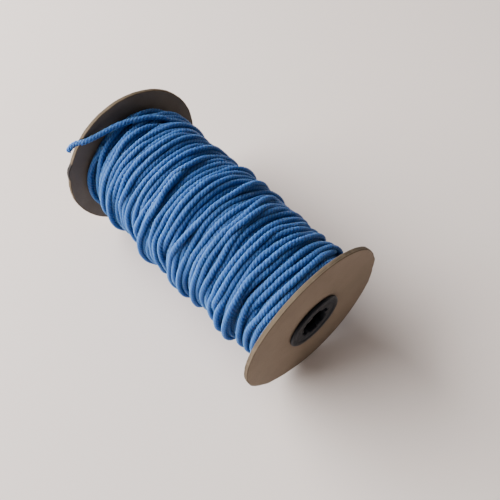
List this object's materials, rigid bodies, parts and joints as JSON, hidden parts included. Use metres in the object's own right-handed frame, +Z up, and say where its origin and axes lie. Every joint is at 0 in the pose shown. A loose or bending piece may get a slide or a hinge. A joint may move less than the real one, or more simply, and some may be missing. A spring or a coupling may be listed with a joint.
{
  "type": "cord reel",
  "caption": "Fibreboard-flanged reel of thick blue three-strand cord on a paper tube, with black toothed hub plugs and the free end held in a rim notch.",
  "frame": {"origin": "on the ground, under the middle of the reel, which lies on the rims of its flanges", "axes": "+Z up; the reel's axis runs along Y, the front flange towards -Y and the rear flange, with the notch that holds the cord's end, towards +Y"},
  "size_m": [0.09, 0.1587, 0.0899],
  "materials": {
    "fibreboard": "matte",
    "tube_paper": "matte",
    "plug_plastic": "satin",
    "cord": "satin"
  },
  "bodies": {
    "root": {"front_flange": "fibreboard", "rear_flange": "fibreboard", "core_tube": "tube_paper", "front_hub_plug": "plug_plastic", "rear_hub_plug": "plug_plastic", "cord_package": "cord", "cord_tail": "cord"}
  },
  "joints": []
}
